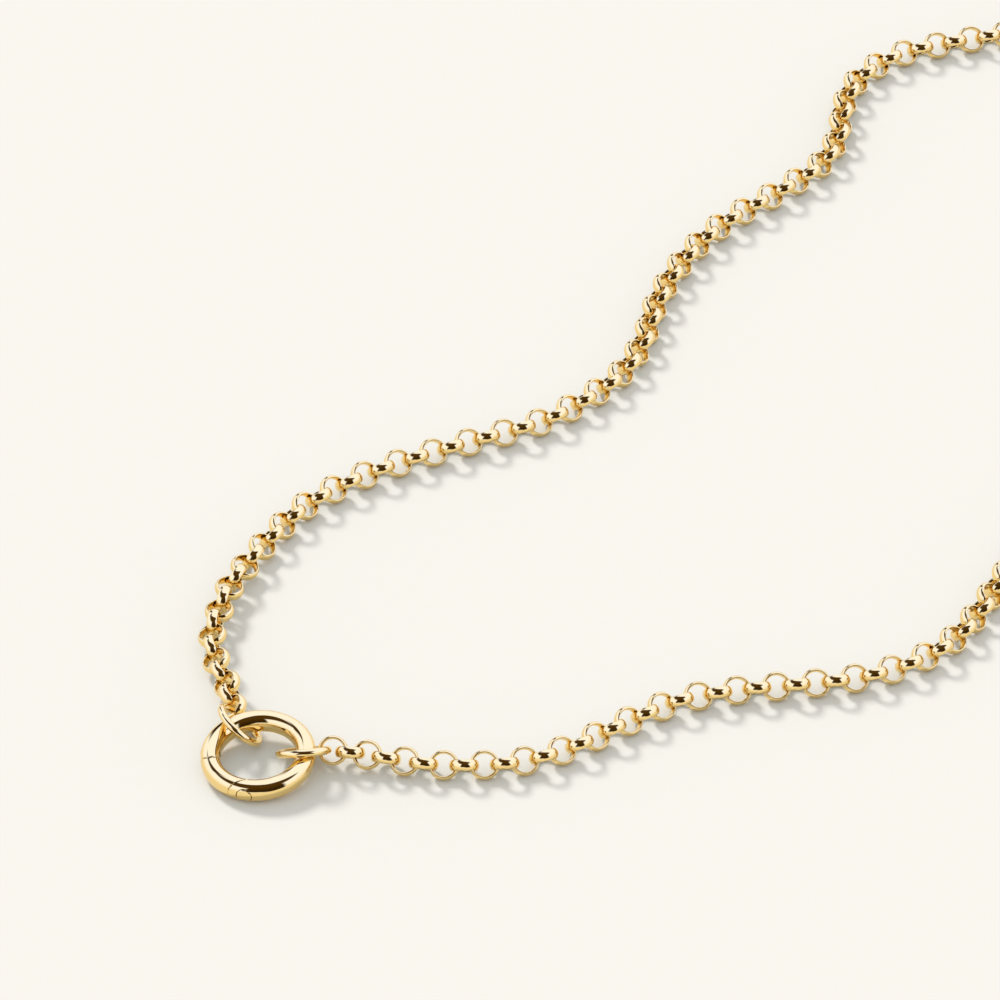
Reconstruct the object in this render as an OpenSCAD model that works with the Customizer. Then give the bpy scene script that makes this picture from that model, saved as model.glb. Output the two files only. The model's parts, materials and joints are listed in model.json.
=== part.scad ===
// A rolo chain necklace lying on a flat surface, closed by a round hinged charm ring.
// Plan positions are first worked out from the middle of the charm ring, and the whole is then
// moved so that the origin is on the surface, below the middle of the necklace.
// +X is to the right, +Y away from the front and +Z up.

/* [Chain] */
// Outer diameter of a link
link_od = 3.42; // [3.35:0.01:3.5]
// Width of a link's band, along the link's own axis
link_w = 1.2; // [1.1:0.01:1.22]
// How far the outside of the band is domed
link_dome = 0.28; // [0.22:0.01:0.29]
// How far the inside of the band is domed
link_comfort = 0.17; // [0.12:0.01:0.18]
// Largest distance between the middles of two links
link_pitch = 2.25; // [2.1:0.01:2.26]
// Lean of the links to either side
link_lean = 44; // [42:1:46]

/* [Charm ring] */
// Outer diameter of the charm ring
ring_od = 13; // [12.5:0.1:14]
// Thickness of the ring's tube across
tube_w = 2.25; // [2:0.05:2.3]
// Height of the ring's tube
tube_h = 2.5; // [2.35:0.05:2.55]
// How steeply the ring lies, propped up by the two jump rings
ring_tilt = 6.5; // [6:0.1:8]
// Side to which the ring rises
ring_rise = 60; // [50:1:70]

/* [Gate] */
// Place of the gate's hinge round the ring
hinge_place = 180; // [175:0.5:185]
// Place of the seam where the gate shuts, at the middle of the tube
seam_place = 248.5; // [244:0.5:252]
// Direction of the seam's slanted face, seen from above
seam_face = 22; // [18:1:24]
// Gap round the hinge and at the seam
gate_gap = 0.06; // [0.04:0.01:0.08]
// Thickness of the gate's hinge tongue
tongue_h = 0.9; // [0.7:0.05:1.1]
// Width of the neck that carries the tongue
neck_w = 1.3; // [1:0.05:1.4]
// Diameter of the hinge pin
pin_d = 0.5; // [0.4:0.05:0.6]
// Clearance round the hinge pin
pin_gap = 0.04; // [0.02:0.01:0.05]
// Metal left over the blind end of the pin's hole
pin_cover = 0.3; // [0.25:0.05:0.4]
// How far the pin lies inside the underside
pin_inset = 0.12; // [0.05:0.01:0.2]

/* [Inset disc] */
// Diameter of the plain disc beside the seam
disc_d = 1.7; // [1.3:0.05:1.8]
// Place of the disc round the ring
disc_place = 256.5; // [255:0.5:262]
// Thickness of the disc
disc_t = 0.5; // [0.3:0.05:0.7]
// Gap round the disc
disc_gap = 0.06; // [0.04:0.01:0.08]

/* [Jump rings] */
// Outer diameter of a jump ring
jump_od = 6.4; // [6.3:0.05:6.7]
// Thickness of its wire
jump_wire = 0.9; // [0.85:0.05:0.95]
// How far the middle of a jump ring lies inside the middle of the tube
jump_inset = 0.3; // [0.2:0.05:0.4]
// Place of the left jump ring round the charm ring
jump_left_place = 112.5; // [110:0.5:116]
// Lean of the left jump ring from lying flat
jump_left_lean = 45.5; // [44:0.5:47]
// Side to which the left jump ring leans
jump_left_side = 19; // [16:0.5:22]
// Place of the right jump ring round the charm ring
jump_right_place = 2.5; // [0:0.5:6]
// Lean of the right jump ring from lying flat
jump_right_lean = 38; // [36:0.5:40]
// Side to which the right jump ring leans
jump_right_side = 98; // [94:0.5:100]
// Play between a jump ring and the link that hangs in it
hook_play = 0.25; // [0.2:0.05:0.3]
// How far the jump rings lift the end links off the surface
hook_lift = 0.7; // [0.6:0.05:0.8]

/* [Hidden] */
// Points of the chain's way round between its two end links, from left to right round the loop:
// x and y from the middle of the charm ring, and the chain's twist in degrees
way = [[-3.8, 12.3, -85], [-5.1, 16.4, -75], [-5.7, 20.9, -62], [-5, 25.4, -47], [-4, 29.4, -34],
       [-2.3, 33.4, -21], [0.5, 38.9, -6], [4.4, 44.8, 0], [9.6, 49.4, 0], [15.2, 52.8, 0],
       [23.4, 56.7, 0], [31.6, 60.4, 0], [37, 64.7, 0], [41.4, 69.8, 0], [44, 75.8, 0],
       [45.5, 82.4, 0], [47.7, 88.8, 0], [51, 95, 0], [55, 100.1, 0], [61.4, 106, 0],
       [66.1, 111, 0], [68.5, 116.7, 0], [69.4, 123, 0], [71.5, 128.8, 0], [76, 133.5, 0],
       [81.6, 136, 0], [90.2, 138.4, 0], [101, 141.4, 0], [114, 142.9, 0], [127, 139.9, 0],
       [137, 131.4, 0], [142, 118.4, 0], [141, 104.4, 0], [135, 90.9, 0], [126, 79.4, 0],
       [115, 68.4, 0], [104, 57.4, 0], [94, 46.4, 0], [85, 32.2, 0], [82.2, 26.4, 0],
       [78.4, 20.4, 0], [73.4, 16.4, 0], [67.4, 13.9, 0], [60.5, 12.7, 0], [54, 11.8, 0],
       [47.3, 10, 0], [41.5, 6.4, 0], [36, 2.5, 0], [32, 0.4, 0], [27.7, -0.9, 0], [21, -1.2, 0],
       [16.2, -0.6, 0], [12.1, 0.2, 0]];
// Shift of links along the way, in pitches, where the chain is bunched up or pulled out
slack = [[0, 0], [8, 0.05], [13, -0.2], [24, -0.18], [32, -0.03], [50, 0.1], [60, 0.16],
         [78, 0.2], [105, 0], [155, 0], [164, -0.02], [175, 0.12], [190, 0.4],
         [193, 0.27], [195, 0]];
// Direction from each jump ring to its end link
hook_left_dir = 104;
hook_right_dir = 5;
// Points per stretch of the way
way_steps = 10;
// Smoothness of round surfaces
$fn = 144;

// Chain: section of a band, and the reach of a link from its middle along a direction that
// makes the cosine c with the link's axis
rim_r = link_od / 2 - link_dome;
band_section = [for (a = [30:60:330]) let (d = cos(a) / cos(30))
    [rim_r + d * (d > 0 ? link_dome : link_comfort), sin(a) * link_w / 2]];
function reach(c) = max([for (q = band_section) q[0] * sqrt(1 - c * c) + abs(q[1] * c)]);

// Charm ring: lowest point of the tilted tube on the surface
mid_r = (ring_od - tube_w) / 2;
bow = (tube_h - tube_w) / 2;
ring_z = mid_r * sin(ring_tilt) + bow * cos(ring_tilt) + tube_w / 2;
function polar(r, a) = [r * cos(a), r * sin(a)];
function in_pose(p) = let (u = p[0] * cos(ring_rise) + p[1] * sin(ring_rise),
                           v = -p[0] * sin(ring_rise) + p[1] * cos(ring_rise),
                           w = u * cos(ring_tilt))
    [w * cos(ring_rise) - v * sin(ring_rise), w * sin(ring_rise) + v * cos(ring_rise),
     ring_z + u * sin(ring_tilt)];

// Gate: hinge, seam and pin
pivot = polar(mid_r, hinge_place);
seam = polar(mid_r, seam_place);
seam_dir = polar(1, seam_face);
seam_normal = [sin(seam_face), -cos(seam_face)];
knuckle_r = tube_w / 2;
slot_h = tongue_h + 2 * gate_gap;
far = ring_od;

// Jump rings: they lie on the surface, with the tube through them
jump_r = (jump_od - jump_wire) / 2;
function uphill(lean, side) = [-cos(lean) * cos(side), -cos(lean) * sin(side), sin(lean)];
function jump_middle(place, lean, side) = let (p = in_pose(polar(mid_r - jump_inset, place)),
                                               z = jump_r * sin(lean) + jump_wire / 2)
    p + uphill(lean, side) * (z - p[2]) / sin(lean);
jump_left_at = jump_middle(jump_left_place, jump_left_lean, jump_left_side);
jump_right_at = jump_middle(jump_right_place, jump_right_lean, jump_right_side);

// Way of the chain: a smooth curve through its points, measured along its length
hook_reach = jump_od / 2 - jump_wire + rim_r - link_comfort - hook_play;
function end_link(at, dir) = [at[0], at[1]] + polar(hook_reach, dir);
first_at = end_link(jump_left_at, hook_left_dir);
last_at = end_link(jump_right_at, hook_right_dir);
first_point = [first_at[0], first_at[1], way[0][2]];
last_point = [last_at[0], last_at[1], way[len(way) - 1][2]];
points = concat([2 * first_point - way[0], first_point], way,
                [last_point, 2 * last_point - way[len(way) - 1]]);
function curve(a, b, c, d, t) = (2 * b + (c - a) * t + (2 * a - 5 * b + 4 * c - d) * t * t
                                 + (3 * b - a - 3 * c + d) * t * t * t) / 2;
samples = concat([for (i = [1:len(points) - 3], k = [0:way_steps - 1])
                      curve(points[i - 1], points[i], points[i + 1], points[i + 2], k / way_steps)],
                 [last_point]);
steps = [for (i = [1:len(samples) - 1])
             norm([samples[i][0] - samples[i - 1][0], samples[i][1] - samples[i - 1][1]])];
along = [for (i = 0, s = 0; i <= len(steps); s = s + (i < len(steps) ? steps[i] : 0), i = i + 1) s];
way_x = [for (i = [0:len(samples) - 1]) [along[i], samples[i][0]]];
way_y = [for (i = [0:len(samples) - 1]) [along[i], samples[i][1]]];
way_twist = [for (i = [0:len(samples) - 1]) [along[i], samples[i][2]]];
way_length = along[len(along) - 1];

// Links: an even number, evenly spaced, each with its middle, heading and lean
links = 2 * ceil((way_length / link_pitch + 1) / 2);
function link_s(i) = way_length * (i + lookup(i, slack)) / (links - 1);
function way_at(s) = [lookup(s, way_x), lookup(s, way_y)];
function heading(i) = let (d = way_at(link_s(i + 0.5)) - way_at(link_s(i - 0.5))) atan2(d[1], d[0]);
function lean(i) = (i % 2 == 0 ? link_lean : -link_lean) + lookup(link_s(i), way_twist);
function lift(i) = hook_lift * pow(max(0, 1 - min(i, links - 1 - i) / 7), 2);
function link_z(i) = max([for (k = [i, i + 1]) reach(cos(lean(k)))]) + lift(i);
function link_axis(i) = let (h = heading(i), a = lean(i)) [sin(a) * sin(h), -sin(a) * cos(h), cos(a)];

// Middle of the whole necklace in plan
left_end = min([for (i = [0:links - 1]) way_at(link_s(i))[0] - reach(link_axis(i)[0])]);
right_end = max([for (i = [0:links - 1]) way_at(link_s(i))[0] + reach(link_axis(i)[0])]);
back_end = max([for (i = [0:links - 1]) way_at(link_s(i))[1] + reach(link_axis(i)[1])]);
ring_front = norm([mid_r * cos(ring_tilt) * sin(ring_rise), mid_r * cos(ring_rise)]);
front_end = min(-ring_od / 2, -ring_front - tube_w / 2);
ring_left = norm([mid_r * cos(ring_tilt) * cos(ring_rise), mid_r * sin(ring_rise)]) + tube_w / 2;
middle = [(min(left_end, -ring_left) + right_end) / 2, (front_end + back_end) / 2];

module on_surface() {
    translate([-middle[0], -middle[1], 0]) children();
}

module in_ring() {
    on_surface() translate([0, 0, ring_z])
        rotate([0, 0, ring_rise]) rotate([0, -ring_tilt, 0]) rotate([0, 0, -ring_rise]) children();
}

module chain_link() {
    rotate_extrude() polygon(band_section);
}

module chain(from, to) {
    on_surface() for (i = [from:to])
        translate([way_at(link_s(i))[0], way_at(link_s(i))[1], link_z(i)])
            rotate([0, 0, heading(i)]) rotate([lean(i), 0, 0]) chain_link();
}

module jump_ring(at, lean, side) {
    on_surface() translate(at) rotate([0, lean, side])
        rotate_extrude() translate([jump_r, 0]) circle(d = jump_wire);
}

module tube() {
    rotate_extrude() translate([mid_r, 0]) {
        translate([0, bow]) circle(d = tube_w);
        translate([0, -bow]) circle(d = tube_w);
        square([tube_w, 2 * bow], center = true);
    }
}

// Plan of the gate's stretch of the ring, with the seam moved by gap towards the body
module gate_plan(gap) {
    face = seam + seam_normal * gap;
    polygon([[0, 0], face + seam_dir * ring_od / 4, face - seam_dir * far,
             polar(2 * far, (hinge_place + seam_place) / 2), polar(far, hinge_place)]);
}

module upright(height) {
    linear_extrude(height = height, center = true) children();
}

module pin_hole(clear) {
    bottom = -tube_h;
    top = tube_h / 2 - pin_cover;
    translate([pivot[0], pivot[1], bottom]) cylinder(d = pin_d + 2 * clear, h = top - bottom);
}

module disc_cylinder(d, depth) {
    rotate([0, 0, disc_place]) translate([ring_od / 2 - depth, 0, 0])
        rotate([0, 90, 0]) cylinder(d = d, h = 2 * depth);
}

module chain_left() {
    color("gold") chain(0, links / 2 - 1);
}

module chain_right() {
    color("gold") chain(links / 2, links - 1);
}

module jump_ring_left() {
    color("goldenrod") jump_ring(jump_left_at, jump_left_lean, jump_left_side);
}

module jump_ring_right() {
    color("goldenrod") jump_ring(jump_right_at, jump_right_lean, jump_right_side);
}

module ring_body() {
    color("gold") in_ring() difference() {
        tube();
        upright(2 * tube_h) difference() {
            gate_plan(gate_gap);
            translate(pivot) circle(r = knuckle_r);
        }
        translate(pivot) cylinder(r = knuckle_r + gate_gap, h = slot_h, center = true);
        pin_hole(pin_gap);
        disc_cylinder(disc_d + 2 * disc_gap, disc_t + disc_gap);
    }
}

module gate() {
    color("gold") in_ring() difference() {
        intersection() {
            tube();
            union() {
                upright(2 * tube_h) difference() {
                    gate_plan(0);
                    translate(pivot) circle(r = knuckle_r + gate_gap);
                }
                upright(tongue_h) translate(pivot) {
                    circle(r = knuckle_r - gate_gap);
                    rotate(hinge_place) translate([-neck_w / 2, 0])
                        square([neck_w, knuckle_r + 4 * gate_gap]);
                }
            }
        }
        translate([pivot[0], pivot[1], -tube_h]) cylinder(d = pin_d + 2 * pin_gap, h = 2 * tube_h);
    }
}

module hinge_pin() {
    bottom = pin_inset - tube_h / 2;
    top = tube_h / 2 - pin_cover - pin_gap;
    color("darkgoldenrod") in_ring() translate([pivot[0], pivot[1], bottom])
        cylinder(d = pin_d, h = top - bottom);
}

module inset_disc() {
    color("gold") in_ring() intersection() {
        tube();
        disc_cylinder(disc_d, disc_t);
    }
}

chain_left();
chain_right();
jump_ring_left();
jump_ring_right();
ring_body();
gate();
hinge_pin();
inset_disc();
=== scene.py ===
# %% [markdown]
# A rolo chain necklace in polished yellow gold lies on a pale table. Its two ends are tied by
# round jump rings to a hinged charm ring, which is the fastening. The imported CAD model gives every
# place and size, so this lesson only makes the surfaces smoother and gives them their finish.

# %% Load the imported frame
import json
import math

import bmesh
import bpy
import numpy as np
from mathutils import Matrix, Vector


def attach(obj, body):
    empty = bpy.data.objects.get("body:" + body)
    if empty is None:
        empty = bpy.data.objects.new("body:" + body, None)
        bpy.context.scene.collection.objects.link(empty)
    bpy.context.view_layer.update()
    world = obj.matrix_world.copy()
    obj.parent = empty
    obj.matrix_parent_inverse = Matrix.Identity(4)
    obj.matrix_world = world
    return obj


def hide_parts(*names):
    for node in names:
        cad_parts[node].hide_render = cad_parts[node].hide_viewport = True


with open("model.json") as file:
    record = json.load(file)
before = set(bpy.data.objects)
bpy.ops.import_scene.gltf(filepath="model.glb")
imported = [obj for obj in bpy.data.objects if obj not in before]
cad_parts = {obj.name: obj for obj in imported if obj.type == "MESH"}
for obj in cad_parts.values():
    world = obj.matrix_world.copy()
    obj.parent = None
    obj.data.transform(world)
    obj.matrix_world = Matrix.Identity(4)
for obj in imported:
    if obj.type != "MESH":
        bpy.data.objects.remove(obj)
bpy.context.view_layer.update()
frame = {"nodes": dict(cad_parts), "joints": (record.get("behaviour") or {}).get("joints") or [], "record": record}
print("nodes:", sorted(frame["nodes"]))

# %% [markdown]
# Sizes below are in millimetres, as a goldsmith gives them. Blender works in metres, so one matrix
# turns the finished shapes into metres.

# %% Units and the collection for new pieces
MM = 0.001
TO_METRES = Matrix.Scale(MM, 4)
scene = bpy.context.scene


def add_object(name, data):
    thing = bpy.data.objects.new(name, data)
    scene.collection.objects.link(thing)
    return thing


# %% [markdown]
# The photo was taken with a long lens from 39 degrees above the table. A long lens keeps the far
# links nearly as large as the near ones. The camera looks at the point of the table that lies in
# the middle of the photo.

# %% Camera at the photo's angle
CAMERA_ELEVATION = 39.0
CAMERA_DISTANCE = 966.7
CAMERA_LENS = 298.8
SENSOR_WIDTH = 36.0
LOOKED_AT = Vector((-41.11, -21.24, 0.0))

elevation = math.radians(CAMERA_ELEVATION)
towards_camera = Vector((0.0, -math.cos(elevation), math.sin(elevation)))
camera_data = bpy.data.cameras.new("photo_camera")
camera_data.lens = CAMERA_LENS
camera_data.sensor_width = SENSOR_WIDTH
camera = add_object("photo_camera", camera_data)
camera.location = (LOOKED_AT + towards_camera * CAMERA_DISTANCE) * MM
camera.rotation_euler = (math.radians(90.0) - elevation, 0.0, 0.0)
scene.camera = camera
print("camera at", [round(v, 3) for v in camera.location])

# %% [markdown]
# Colours are written as the sRGB hex values that a painter reads off a picture. The shaders work
# with linear light, so one function turns a hex value into linear numbers.


# %% Colours and nodes
def linear(hex_colour):
    channels = [int(hex_colour[k:k + 2], 16) / 255 for k in (1, 3, 5)]
    return [c / 12.92 if c <= 0.04045 else ((c + 0.055) / 1.055) ** 2.4 for c in channels]


def add_node(tree, kind, inputs=(), **settings):
    """Adds a node with its settings; inputs maps a socket's name or number to a value or a link."""
    node = tree.nodes.new(kind)
    for name, value in settings.items():
        setattr(node, name, value)
    for socket, value in dict(inputs).items():
        if isinstance(value, bpy.types.NodeSocket):
            tree.links.new(value, node.inputs[socket])
        else:
            node.inputs[socket].default_value = value
    return node


# %% [markdown]
# The metal is 14 carat yellow gold: a little paler than pure gold, polished on a felt wheel to a
# mirror. Polishing leaves very low waves that only bend the reflections a little, so the bump is
# less than a thousandth of a millimetre high. The felt also leaves some places duller than others,
# which a second, broader noise gives to the roughness.


# %% Polished 14 carat gold
WEAR_MM = 3
GLOSSIEST = 0.6
DULLEST = 1.5


def polished_gold(name, colour, ripple_mm, ripple_height_mm, roughness):
    """Gold with a faint polishing ripple, whose size is given in millimetres."""
    material = bpy.data.materials.new(name)
    material.use_nodes = True
    tree = material.node_tree
    tree.nodes.clear()
    place = add_node(tree, "ShaderNodeTexCoord")
    ripple = add_node(tree, "ShaderNodeTexNoise", {"Vector": place.outputs["Object"],
                                                   "Scale": 1 / (ripple_mm * MM), "Detail": 2.0})
    wear = add_node(tree, "ShaderNodeTexNoise",
                    {"Vector": place.outputs["Object"], "Scale": 1 / (WEAR_MM * MM), "Detail": 3.0})
    gloss = add_node(tree, "ShaderNodeMapRange", {"Value": wear.outputs["Fac"],
                                                  "To Min": roughness * GLOSSIEST,
                                                  "To Max": roughness * DULLEST})
    bump = add_node(tree, "ShaderNodeBump", {"Height": ripple.outputs["Fac"],
                                             "Distance": ripple_height_mm * MM, "Strength": 1.0})
    metal = add_node(tree, "ShaderNodeBsdfPrincipled",
                     {"Base Color": (*linear(colour), 1.0), "Metallic": 1.0,
                      "Roughness": gloss.outputs["Result"], "Normal": bump.outputs["Normal"]})
    add_node(tree, "ShaderNodeOutputMaterial", {"Surface": metal.outputs["BSDF"]})
    return material


CHAIN_GOLD = polished_gold("polished_gold_chain", "#F7D891", 0.35, 0.0006, 0.07)
RING_GOLD = polished_gold("polished_gold_ring", "#F7D891", 0.8, 0.0008, 0.05)
print("materials:", CHAIN_GOLD.name, RING_GOLD.name)

# %% [markdown]
# A CAD link is a ring of a few flat bands, which is enough for collisions. The real link is bent
# from domed wire and looks round from every side. Each CAD node holds loose links, so the mesh is
# split into its islands, and each island tells where its link lies and which way its axis points:
# the axis is the direction in which a ring's surface spreads the least.


# %% Read the places of rings from a CAD node
def islands(node_name):
    """Yields the triangles of each loose solid of a node, as an array of corners in millimetres."""
    copy = bmesh.new()
    copy.from_mesh(frame["nodes"][node_name].data)
    bmesh.ops.remove_doubles(copy, verts=copy.verts, dist=1e-7)
    waiting = set(copy.verts)
    while waiting:
        group, edge = set(), [waiting.pop()]
        while edge:
            vert = edge.pop()
            group.add(vert)
            for neighbour in (e.other_vert(vert) for e in vert.link_edges):
                if neighbour in waiting:
                    waiting.discard(neighbour)
                    edge.append(neighbour)
        faces = {face for vert in group for face in vert.link_faces}
        yield np.array([[corner.co[:] for corner in face.verts] for face in faces]) / MM
    copy.free()


def ring_pose(triangles):
    """The matrix that takes a ring lying flat at the origin to where the triangles lie."""
    a, b, c = triangles[:, 0], triangles[:, 1], triangles[:, 2]
    area = np.linalg.norm(np.cross(b - a, c - a), axis=1)
    middle = np.average((a + b + c) / 3, axis=0, weights=area)
    spread = np.zeros((3, 3))
    for corner in (a, b, c):
        spread += np.einsum("n,ni,nj->ij", area, corner - middle, corner - middle)
    axis = Vector(np.linalg.eigh(spread)[1][:, 0])
    if axis.z < 0:
        axis.negate()
    turn = Vector((0, 0, 1)).rotation_difference(axis).to_matrix().to_4x4()
    return Matrix.Translation(middle) @ turn


link_poses = {side: [ring_pose(t) for t in islands("chain_" + side)] for side in ("left", "right")}
print("links:", {side: len(poses) for side, poses in link_poses.items()})

# %% [markdown]
# One link is a few dozen faces: six points of the wire's section, spun in ten steps round the
# axis. A Subdivision Surface then rounds it. It pulls a shape inwards, so the section and the
# radius are set out a little larger than the finished link.

# %% One coarse link
LINK_STEPS = 10
ROUNDING = (2 + math.cos(math.tau / LINK_STEPS)) / 3
OUTER_CROWN = (1.723, 0.28)
BAND_EDGE = (1.4, 0.76)
INNER_CROWN = (1.254, 0.28)
SUBDIVISIONS = 2


def add_coarse_link(bm, pose):
    """Adds one link's control cage: a closed section of six points, spun round."""
    half = [OUTER_CROWN, BAND_EDGE, INNER_CROWN]
    outline = [(r, -z) for r, z in reversed(half)] + half
    verts = [bm.verts.new((r / ROUNDING, 0.0, z)) for r, z in outline]
    edges = [bm.edges.new((verts[k - 1], verts[k])) for k in range(len(verts))]
    before = set(bm.verts) - set(verts)
    bmesh.ops.spin(bm, geom=verts + edges, cent=(0, 0, 0), axis=(0, 0, 1), dvec=(0, 0, 0),
                   angle=math.tau, steps=LINK_STEPS, use_merge=True, use_duplicate=False)
    bmesh.ops.transform(bm, matrix=pose, verts=[v for v in bm.verts if v not in before])


# %% [markdown]
# Every finished mesh goes the same way: normals outwards, millimetres to metres, smooth shading
# with only the true corners kept sharp. The piece then rides on its body and stands for its node.
# The links have no corner at all, so their angle is set so wide that nothing stays sharp.


# %% Turn a bmesh into a finished piece
SHARP_CORNER = 25.0
NO_CORNER = 180.0


def make_piece(bm, name, material, body, node, corner=SHARP_CORNER):
    """Writes a bmesh in millimetres to an object that stands for a CAD node."""
    bmesh.ops.recalc_face_normals(bm, faces=bm.faces)
    bmesh.ops.transform(bm, matrix=TO_METRES, verts=bm.verts)
    mesh = bpy.data.meshes.new(name)
    bm.to_mesh(mesh)
    bm.free()
    mesh.materials.append(material)
    mesh.shade_smooth()
    mesh.set_sharp_from_angle(angle=math.radians(corner))
    piece = add_object(name, mesh)
    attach(piece, body)
    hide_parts(node)
    return piece


# %% The two halves of the chain
for side, poses in link_poses.items():
    bm = bmesh.new()
    for pose in poses:
        add_coarse_link(bm, pose)
    half_chain = make_piece(bm, "rolo_links_" + side, CHAIN_GOLD, "necklace",
                            "chain_" + side, NO_CORNER)
    rounding = half_chain.modifiers.new("round_wire", "SUBSURF")
    rounding.levels = rounding.render_levels = SUBDIVISIONS
    print(half_chain.name, len(half_chain.data.polygons), "coarse faces")

# %% [markdown]
# A jump ring is round wire bent to a circle. Its circle of wire is a create_circle shape, moved
# out to the middle radius and spun all the way round.

# %% Jump rings
JUMP_MIDDLE_RADIUS = 2.75
JUMP_WIRE_RADIUS = 0.45
JUMP_WIRE_SIDES = 32
JUMP_STEPS = 128


def add_wire_section(bm, radius, sides, out, half_straight=0.0):
    """A circle of wire in the XZ plane at a distance from the axis, or a stadium with a straight."""
    phase = math.pi / sides
    circle = bmesh.ops.create_circle(bm, radius=radius, segments=sides)["verts"]
    bmesh.ops.rotate(bm, verts=circle, cent=(0, 0, 0), matrix=Matrix.Rotation(phase, 3, "Z"))
    bmesh.ops.rotate(bm, verts=circle, cent=(0, 0, 0), matrix=Matrix.Rotation(math.pi / 2, 3, "X"))
    for sign in (1, -1):
        half = [v for v in circle if v.co.z * sign > 0]
        bmesh.ops.translate(bm, verts=half, vec=(0, 0, sign * half_straight))
    bmesh.ops.translate(bm, verts=circle, vec=(out, 0, 0))
    return circle + list({edge for v in circle for edge in v.link_edges})


for side in ("left", "right"):
    bm = bmesh.new()
    wire = add_wire_section(bm, JUMP_WIRE_RADIUS, JUMP_WIRE_SIDES, JUMP_MIDDLE_RADIUS)
    bmesh.ops.spin(bm, geom=wire, cent=(0, 0, 0), axis=(0, 0, 1), dvec=(0, 0, 0),
                   angle=math.tau, steps=JUMP_STEPS, use_merge=True, use_duplicate=False)
    pose = ring_pose(next(islands("jump_ring_" + side)))
    bmesh.ops.transform(bm, matrix=pose, verts=bm.verts)
    jump = make_piece(bm, "jump_wire_" + side, RING_GOLD, "necklace",
                      "jump_ring_" + side)
    print(jump.name, "centre", [round(v, 2) for v in pose.translation])

# %% [markdown]
# The charm ring's pieces are made in the ring's own plane and then laid in place. The hinge's axis
# gives the tilt of that plane, and the record's mount gives the ring's middle.

# %% The charm ring's own frame
hinge = frame["joints"][0]
ring_mount = next(m for m in frame["record"]["mounts"] if m["name"] == "charm_ring")
ring_axis = Vector(hinge["axis"])
ring_turn = Vector((0, 0, 1)).rotation_difference(ring_axis).to_matrix().to_4x4()
RING_PLACE = Matrix.Translation(Vector(ring_mount["pos_m"]) / MM) @ ring_turn
pivot = RING_PLACE.inverted() @ (Vector(hinge["pos_m"]) / MM)
pivot.z = 0.0
hinge_angle = math.degrees(math.atan2(pivot.y, pivot.x)) % 360
print("hinge at", [round(v, 3) for v in pivot], "angle", round(hinge_angle, 2))

# %% [markdown]
# The bar of the ring is a stadium section, 2.25 mm across and 2.5 mm high, spun through an arc. The
# gate and the body are two such arcs. The seam between them is a slanted saw cut, so that the gate
# can only swing inwards.

# %% Arcs of the ring's bar
BAR_MIDDLE_RADIUS = 5.375
BAR_RADIUS = 1.125
BAR_HALF_STRAIGHT = 0.125
BAR_SIDES = 64
DEGREES_PER_STEP = 1.5
SEAM_ANGLE = 248.5
SEAM_FACE = 22.0
SEAM_GAP = 0.06
SAW_REACH = 3.0
seam_turn = Matrix.Rotation(math.radians(SEAM_ANGLE), 3, "Z")
seam_point = seam_turn @ Vector((BAR_MIDDLE_RADIUS, 0, 0))
seam_normal = Matrix.Rotation(math.radians(SEAM_FACE - 90), 3, "Z") @ Vector((1, 0, 0))


def bar_arc(start, end):
    """A closed arc of the ring's bar from one angle to another, in degrees."""
    bm = bmesh.new()
    section = add_wire_section(bm, BAR_RADIUS, BAR_SIDES, BAR_MIDDLE_RADIUS, BAR_HALF_STRAIGHT)
    to_start = Matrix.Rotation(math.radians(start), 3, "Z")
    bmesh.ops.rotate(bm, verts=bm.verts, cent=(0, 0, 0), matrix=to_start)
    bmesh.ops.spin(bm, geom=section, cent=(0, 0, 0), axis=(0, 0, 1), dvec=(0, 0, 0),
                   angle=math.radians(end - start), steps=round((end - start) / DEGREES_PER_STEP),
                   use_merge=False, use_duplicate=False)
    open_edges = [edge for edge in bm.edges if edge.is_boundary]
    bmesh.ops.holes_fill(bm, edges=open_edges, sides=BAR_SIDES)
    bmesh.ops.recalc_face_normals(bm, faces=bm.faces)
    return bm


def saw_at_seam(bm, offset, keep_side):
    """Cuts the bar along the slanted seam and closes the cut; only the bar near the seam is sawn."""
    near = [f for f in bm.faces if (f.calc_center_median() - seam_point).length < SAW_REACH]
    geom = set(near) | {e for f in near for e in f.edges} | {v for f in near for v in f.verts}
    place = seam_point + seam_normal * offset
    cut = bmesh.ops.bisect_plane(bm, geom=list(geom), dist=1e-5, plane_co=place,
                                 plane_no=seam_normal * keep_side, clear_inner=True)
    edges = [g for g in cut["geom_cut"] if isinstance(g, bmesh.types.BMEdge)]
    bmesh.ops.contextual_create(bm, geom=edges)
    return bm


# %% [markdown]
# The hinge needs real carving: the body ends in a round knuckle with a slot, and the gate carries a
# flat tongue that turns in the slot on a hidden pin. Boolean modifiers cut these with simple
# tools: a cove, which is a block with a round bite out of it, and plain cylinders. The pin's bore
# isn't cut here, so the hidden pin simply passes through the tongue.


# %% Boolean tools
def as_tool(bm, name="tool"):
    bmesh.ops.recalc_face_normals(bm, faces=bm.faces)
    mesh = bpy.data.meshes.new(name)
    bm.to_mesh(mesh)
    bm.free()
    return add_object(name, mesh)


def carve(bm, tool, operation="DIFFERENCE"):
    """Carves a bmesh with a tool object and gives the result as a new bmesh."""
    work = as_tool(bm, "work")
    cut = work.modifiers.new("carve", "BOOLEAN")
    cut.operation = operation
    cut.solver = "EXACT"
    cut.object = tool
    carved = work.evaluated_get(bpy.context.evaluated_depsgraph_get()).to_mesh()
    result = bmesh.new()
    result.from_mesh(carved)
    for used in (work, tool):
        mesh = used.data
        bpy.data.objects.remove(used)
        bpy.data.meshes.remove(mesh)
    return result


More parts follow.
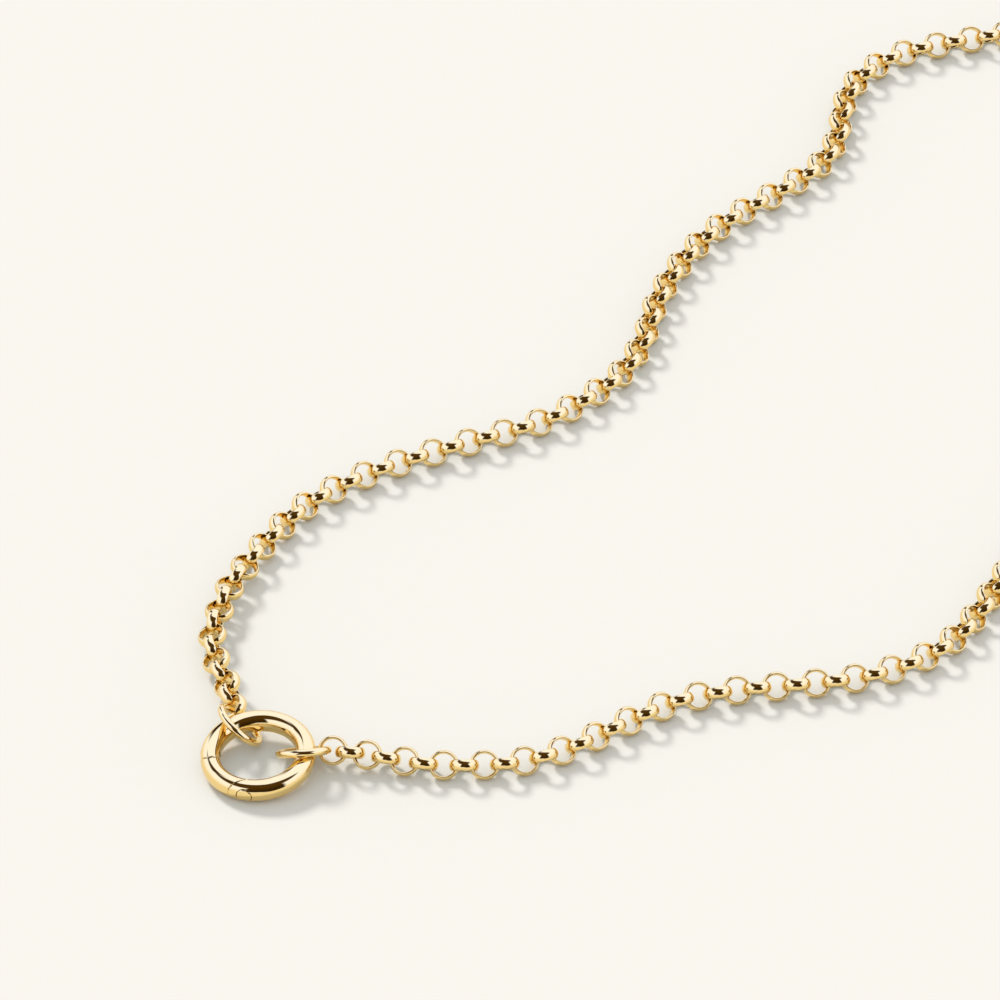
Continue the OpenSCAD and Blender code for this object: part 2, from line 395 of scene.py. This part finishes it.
def cylinder_tool(radius, height, place, sides=64):
    bm = bmesh.new()
    bmesh.ops.create_cone(bm, cap_ends=True, segments=sides, radius1=radius, radius2=radius,
                          depth=height)
    bmesh.ops.transform(bm, matrix=place, verts=bm.verts)
    return as_tool(bm)


# %% The cove that rounds the body's end
KNUCKLE_RADIUS = BAR_RADIUS
HINGE_GAP = 0.06
GATE_RELIEF = 0.05
TONGUE_HEIGHT = 0.9
TONGUE_NECK = 1.3
BLOCK = 2.5
COVE_STEPS = 32
at_pivot = Matrix.Translation(pivot) @ Matrix.Rotation(math.radians(hinge_angle), 4, "Z")


def cove_tool():
    """A block on the gate's side of the hinge, with the knuckle's round bite out of it."""
    bm = bmesh.new()
    first = bm.verts.new((-KNUCKLE_RADIUS, 0, -BLOCK))
    bmesh.ops.spin(bm, geom=[first], cent=(0, 0, -BLOCK), axis=(0, 0, 1), dvec=(0, 0, 0),
                   angle=-math.pi, steps=COVE_STEPS, use_merge=False, use_duplicate=False)
    arc_end = max(bm.verts, key=lambda v: v.co.x)
    outline = ((BLOCK, 0), (BLOCK, BLOCK), (-BLOCK, BLOCK), (-BLOCK, 0))
    corners = [bm.verts.new((x, y, -BLOCK)) for x, y in outline]
    for a, b in zip([arc_end] + corners, corners + [first]):
        bm.edges.new((a, b))
    floor_face = bmesh.ops.contextual_create(bm, geom=bm.edges)["faces"]
    lifted = bmesh.ops.extrude_face_region(bm, geom=floor_face)["geom"]
    top = [g for g in lifted if isinstance(g, bmesh.types.BMVert)]
    bmesh.ops.translate(bm, verts=top, vec=(0, 0, 2 * BLOCK))
    bmesh.ops.transform(bm, matrix=at_pivot, verts=bm.verts)
    return as_tool(bm)


# %% [markdown]
# A goldsmith breaks every sharp edge with a fine stone, and the tiny rounded edge is what makes a
# seam or a groove show as a dark line with a bright side. A Bevel modifier does the same. The cuts
# leave sliver faces beside the edges, and the smallest of these are merged first. The modifier's
# overlap clamp is off, because the slivers that are left would make the whole bevel too thin to
# show. The price is that the bevel may cross itself there, which only a close view would show.

# %% Broken edges
BROKEN_EDGE = 0.06
SLIVER = 0.03
TRUE_CORNER = 45.0


def break_edges(piece):
    """Rounds the true corners of a finished piece by less than a tenth of a millimetre."""
    bevel = piece.modifiers.new("broken_edges", "BEVEL")
    bevel.width = BROKEN_EDGE * MM
    bevel.segments = 2
    bevel.limit_method = "ANGLE"
    bevel.angle_limit = math.radians(TRUE_CORNER)
    bevel.use_clamp_overlap = False


# %% [markdown]
# A small plain disc is let into the outside of the body beside the seam, with a fine groove round
# it. The pocket is a radial bore, and the disc is the part of the bar inside a slightly smaller
# bore, so it follows the bar's curve exactly.

# %% Body of the charm ring
DISC_ANGLE = 256.5
DISC_RADIUS = 0.85
DISC_GROOVE = 0.06
DISC_THICKNESS = 0.5


def radial_place(angle, out):
    turn = Matrix.Rotation(math.radians(angle), 4, "Z")
    return turn @ Matrix.Translation((out, 0, 0)) @ Matrix.Rotation(math.pi / 2, 4, "Y")


RING_OUTSIDE = BAR_MIDDLE_RADIUS + BAR_RADIUS
BODY_START = 236.0
BODY_PAST_HINGE = 16.0
body = saw_at_seam(bar_arc(BODY_START, hinge_angle + 360 + BODY_PAST_HINGE), SEAM_GAP, 1)
body = carve(body, cove_tool())
slot_height = TONGUE_HEIGHT + 2 * HINGE_GAP
slot = cylinder_tool(KNUCKLE_RADIUS + HINGE_GAP, slot_height, Matrix.Translation(pivot))
body = carve(body, slot)
pocket_depth = DISC_THICKNESS + DISC_GROOVE
disc_place = radial_place(DISC_ANGLE, RING_OUTSIDE)
body = carve(body, cylinder_tool(DISC_RADIUS + DISC_GROOVE, 2 * pocket_depth, disc_place))
bmesh.ops.remove_doubles(body, verts=body.verts, dist=SLIVER)
bmesh.ops.transform(body, matrix=RING_PLACE, verts=body.verts)
ring_body = make_piece(body, "charm_ring_body", RING_GOLD, "necklace", "ring_body")
break_edges(ring_body)
print(ring_body.name, len(ring_body.data.polygons), "faces")

# %% Inset disc
DISC_HALF_ARC = 12.0
disc = bar_arc(DISC_ANGLE - DISC_HALF_ARC, DISC_ANGLE + DISC_HALF_ARC)
disc = carve(disc, cylinder_tool(DISC_RADIUS, 2 * DISC_THICKNESS, disc_place), "INTERSECT")
bmesh.ops.remove_doubles(disc, verts=disc.verts, dist=SLIVER)
bmesh.ops.transform(disc, matrix=RING_PLACE, verts=disc.verts)
disc_piece = make_piece(disc, "charm_ring_disc", RING_GOLD, "necklace", "inset_disc")
break_edges(disc_piece)
print(disc_piece.name, len(disc_piece.data.polygons), "faces")

# %% [markdown]
# The gate's end gets a bite round the knuckle. The bite is a little deeper than the hinge's gap, so
# that the inner tip of the gate clears the body when the gate is fully open.

# %% Gate with its tongue
GATE_END = 262.0
gate = saw_at_seam(bar_arc(hinge_angle, GATE_END), 0.0, -1)
gate_bite = KNUCKLE_RADIUS + HINGE_GAP + GATE_RELIEF
gate = carve(gate, cylinder_tool(gate_bite, 2 * BLOCK, Matrix.Translation(pivot)))
neck_reach = KNUCKLE_RADIUS + 4 * HINGE_GAP
neck = bmesh.new()
bmesh.ops.create_cube(neck, size=1.0)
bmesh.ops.scale(neck, verts=neck.verts, vec=(TONGUE_NECK, neck_reach, TONGUE_HEIGHT))
bmesh.ops.translate(neck, verts=neck.verts, vec=(0, neck_reach / 2, 0))
bmesh.ops.transform(neck, matrix=at_pivot, verts=neck.verts)
knuckle = cylinder_tool(KNUCKLE_RADIUS - HINGE_GAP, TONGUE_HEIGHT, Matrix.Translation(pivot))
tongue = carve(neck, knuckle, "UNION")
gate = carve(gate, as_tool(tongue), "UNION")
bmesh.ops.remove_doubles(gate, verts=gate.verts, dist=SLIVER)
bmesh.ops.transform(gate, matrix=RING_PLACE, verts=gate.verts)
gate_piece = make_piece(gate, "charm_ring_gate", RING_GOLD, "gate", "gate")
break_edges(gate_piece)
print(gate_piece.name, len(gate_piece.data.polygons), "faces")

# %% The hidden pin keeps its CAD shape
pin_mesh = frame["nodes"]["hinge_pin"].data
pin_mesh.materials.clear()
pin_mesh.materials.append(RING_GOLD)

# %% [markdown]
# The table is a large sheet of warm white card. It is matt, so it shows shadows and no
# reflections. Card has a faint cloudy grain, two or three millimetres across, where its fibres lie
# closer together.

# %% Table
TABLE_SIZE = 6000.0


def pale_card(name, colour, cloud_colour, cloud_mm):
    """Matt card whose fibres make faint clouds, whose size is given in millimetres."""
    material = bpy.data.materials.new(name)
    material.use_nodes = True
    tree = material.node_tree
    tree.nodes.clear()
    place = add_node(tree, "ShaderNodeTexCoord")
    cloud = add_node(tree, "ShaderNodeTexNoise", {"Vector": place.outputs["Object"],
                                                  "Scale": 1 / (cloud_mm * MM), "Detail": 4.0})
    shade = add_node(tree, "ShaderNodeMix", {"Factor": cloud.outputs["Fac"],
                                             "A": (*linear(colour), 1.0),
                                             "B": (*linear(cloud_colour), 1.0)}, data_type="RGBA")
    card = add_node(tree, "ShaderNodeBsdfDiffuse", {"Color": shade.outputs["Result"]})
    add_node(tree, "ShaderNodeOutputMaterial", {"Surface": card.outputs["BSDF"]})
    return material


bm = bmesh.new()
bmesh.ops.create_grid(bm, x_segments=1, y_segments=1, size=TABLE_SIZE / 2)
bmesh.ops.transform(bm, matrix=TO_METRES, verts=bm.verts)
table_mesh = bpy.data.meshes.new("table")
bm.to_mesh(table_mesh)
bm.free()
table_mesh.materials.append(pale_card("warm_white_card", "#E9E6DF", "#E8E5DE", 2.5))
table = add_object("table", table_mesh)

# %% [markdown]
# One lamp from the back left throws the soft shadows towards the camera and to the right. A Sun
# with a wide disc stands for a softbox a metre away. The gold doesn't mirror it: a photographer
# hangs a diffuser between them for the same reason, because a bare lamp burns a white spot.

# %% Key light
KEY_ELEVATION = 38.0
KEY_TRAVEL = (0.566, -0.824)
KEY_STRENGTH = 2.12
KEY_WIDTH = 13.0
key_data = bpy.data.lights.new("key_softbox", "SUN")
key_data.energy = KEY_STRENGTH
key_data.angle = math.radians(KEY_WIDTH)
key = add_object("key_softbox", key_data)
key.visible_glossy = False
drop = math.radians(KEY_ELEVATION)
travel = Vector((*KEY_TRAVEL, 0.0)).normalized() * math.cos(drop) - Vector((0, 0, math.sin(drop)))
key.rotation_euler = travel.to_track_quat("-Z", "Y").to_euler()
key.location = -travel
print("light travels along", [round(v, 2) for v in travel])

# %% [markdown]
# Polished gold shows the room more than itself. The room is a white tent that is brightest above.
# It is open towards the camera and overhead, with two narrow gaps at the back left. The dark studio
# shows through these openings as the dark bands that make the metal look polished. Azimuth 0 is the
# side towards the camera, and positive is to the right. The tent's light is blue, as light from a
# clear sky is, so the gold's top looks creamy.

# %% The openings of the tent, in degrees
OPENINGS = (
    {"name": "camera_side", "azimuth": (-28, 46), "elevation": (8, 100), "sink": 0.5},
    {"name": "roof", "azimuth": (-125, 88), "elevation": (48, 100), "sink": 0.0},
    {"name": "left_tip", "azimuth": (-148, -110), "elevation": (42, 60), "sink": 0.0},
    {"name": "left_slit", "azimuth": (-164, -151), "elevation": (-8, 38), "sink": 0.0},
)
SOFT_EDGE = 8.0
world = bpy.data.worlds.new("white_tent")
world.use_nodes = True
scene.world = world
tree = world.node_tree
tree.nodes.clear()


def calculate(operation, *values):
    """One Math node on numbers or links."""
    return add_node(tree, "ShaderNodeMath", enumerate(values), operation=operation).outputs[0]


def ramp(value, low, high):
    """0 at low and 1 at high, whichever of them is larger."""
    inputs = {"Value": value, "From Min": low, "From Max": high}
    return add_node(tree, "ShaderNodeMapRange", inputs, interpolation_type="SMOOTHSTEP").outputs[0]


def window(value, low, high):
    """1 inside an interval in degrees, falling to 0 over a soft edge on either side."""
    rise = ramp(value, low - SOFT_EDGE / 2, low + SOFT_EDGE / 2)
    fall = ramp(value, high + SOFT_EDGE / 2, high - SOFT_EDGE / 2)
    return calculate("MULTIPLY", rise, fall)


look = add_node(tree, "ShaderNodeTexCoord").outputs["Generated"]
direction = add_node(tree, "ShaderNodeSeparateXYZ", {0: look})
away = calculate("MULTIPLY", direction.outputs["Y"], -1.0)
azimuth = calculate("DEGREES", calculate("ARCTAN2", direction.outputs["X"], away))
height = calculate("DEGREES", calculate("ARCSINE", direction.outputs["Z"]))
to_the_right = calculate("MAXIMUM", azimuth, 0.0)
openness = 0.0
for opening in OPENINGS:
    across = window(azimuth, *opening["azimuth"])
    sunk = calculate("MULTIPLY_ADD", to_the_right, opening["sink"], height)
    up = window(sunk, *opening["elevation"])
    openness = calculate("MAXIMUM", openness, calculate("MULTIPLY", across, up))
print("openings:", [opening["name"] for opening in OPENINGS])

# %% [markdown]
# The table gets an even white light. The light that reaches it by way of the gold would tint the
# shadows yellow. It is made blue to undo that, as a retoucher takes the tint out of a shadow.

# %% The room that the gold mirrors, and the even light that the table gets
FILL = 0.765


def glow(hex_colour, strength):
    return [channel * strength for channel in linear(hex_colour)] + [1.0]


def blend(factor, low, high):
    inputs = {"Factor": factor, "A": low, "B": high}
    return add_node(tree, "ShaderNodeMix", inputs, data_type="RGBA").outputs["Result"]


TENT_LOW = glow("#DADFFF", 1.5)
TENT_HIGH = glow("#BAC9FF", 2.25)
STUDIO_LOW = glow("#FFC458", 0.03)
STUDIO_HIGH = glow("#FFC458", 0.08)
BY_WAY_OF_GOLD = glow("#70A2FF", 2.9)
TENT_RISE = (0.0, 30.0)
STUDIO_RISE = (10.0, 70.0)
tent = blend(ramp(height, *TENT_RISE), TENT_LOW, TENT_HIGH)
studio = blend(ramp(height, *STUDIO_RISE), STUDIO_LOW, STUDIO_HIGH)
mirrored = blend(openness, tent, studio)
ray = add_node(tree, "ShaderNodeLightPath")
from_table = calculate("MINIMUM", ray.outputs["Diffuse Depth"], 1.0)
in_gold = blend(from_table, mirrored, BY_WAY_OF_GOLD)
seen = blend(ray.outputs["Is Glossy Ray"], glow("#FFFFFF", FILL), in_gold)
light = add_node(tree, "ShaderNodeBackground", {"Color": seen, "Strength": 1.0})
add_node(tree, "ShaderNodeOutputWorld", {"Surface": light.outputs[0]})
scene.view_settings.view_transform = "Standard"
print("world nodes:", len(tree.nodes))
